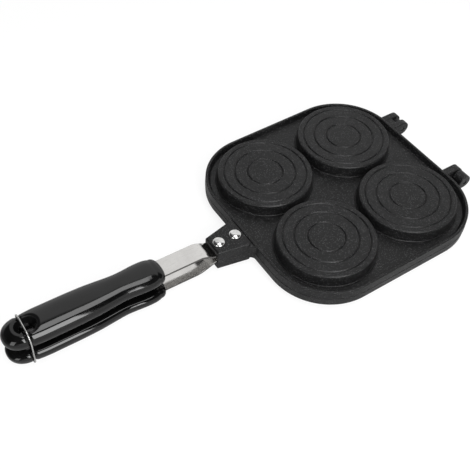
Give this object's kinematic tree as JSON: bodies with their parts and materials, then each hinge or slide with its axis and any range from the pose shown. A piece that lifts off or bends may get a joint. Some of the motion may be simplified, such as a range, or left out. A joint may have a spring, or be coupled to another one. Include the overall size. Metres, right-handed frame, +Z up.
{
  "type": "double-sided frying pan",
  "caption": "Hinged double-sided frying pan: two cast halves with round cups and ring grooves, riveted strap handles with black grips and a sliding wire closing ring.",
  "frame": {"origin": "centre of the bounding box on the plane that the lower cup faces stand on", "axes": "+X along the closed handles away from the hinges, +Z up from the standing plane towards the upper half"},
  "size_m": [0.4262, 0.194, 0.0402],
  "materials": {
    "nonstick_casting": "matt black non-stick coat with a fine speckle on cast aluminium",
    "rivet_metal": "bright domed rivet",
    "strap_steel": "satin bare steel strip",
    "grip_plastic": "high gloss black moulding",
    "pin_steel": "plain steel pin",
    "ring_wire": "bright plated wire"
  },
  "bodies": {
    "lower_half": {"lower_pan": "nonstick_casting", "lower_rivet_1": "rivet_metal", "lower_rivet_2": "rivet_metal", "lower_strap": "strap_steel", "lower_grip": "grip_plastic"},
    "upper_half": {"upper_pan": "nonstick_casting", "upper_rivet_1": "rivet_metal", "upper_rivet_2": "rivet_metal", "upper_strap": "strap_steel", "upper_grip": "grip_plastic", "hinge_pin_1": "pin_steel", "hinge_pin_2": "pin_steel"},
    "closing_ring": {"closing_ring": "ring_wire"}
  },
  "joints": [
    {"name": "lid_hinge", "type": "hinge", "parent": "lower_half", "child": "upper_half", "pos_m": [-0.20615, 0, 0.0141], "axis": [0, -1, 0], "range_deg": [0, 178]},
    {"name": "ring_slide", "type": "slide", "parent": "lower_half", "child": "closing_ring", "axis": [0.9994, 0, 0.036], "range_m": [0, 0.06]}
  ]
}
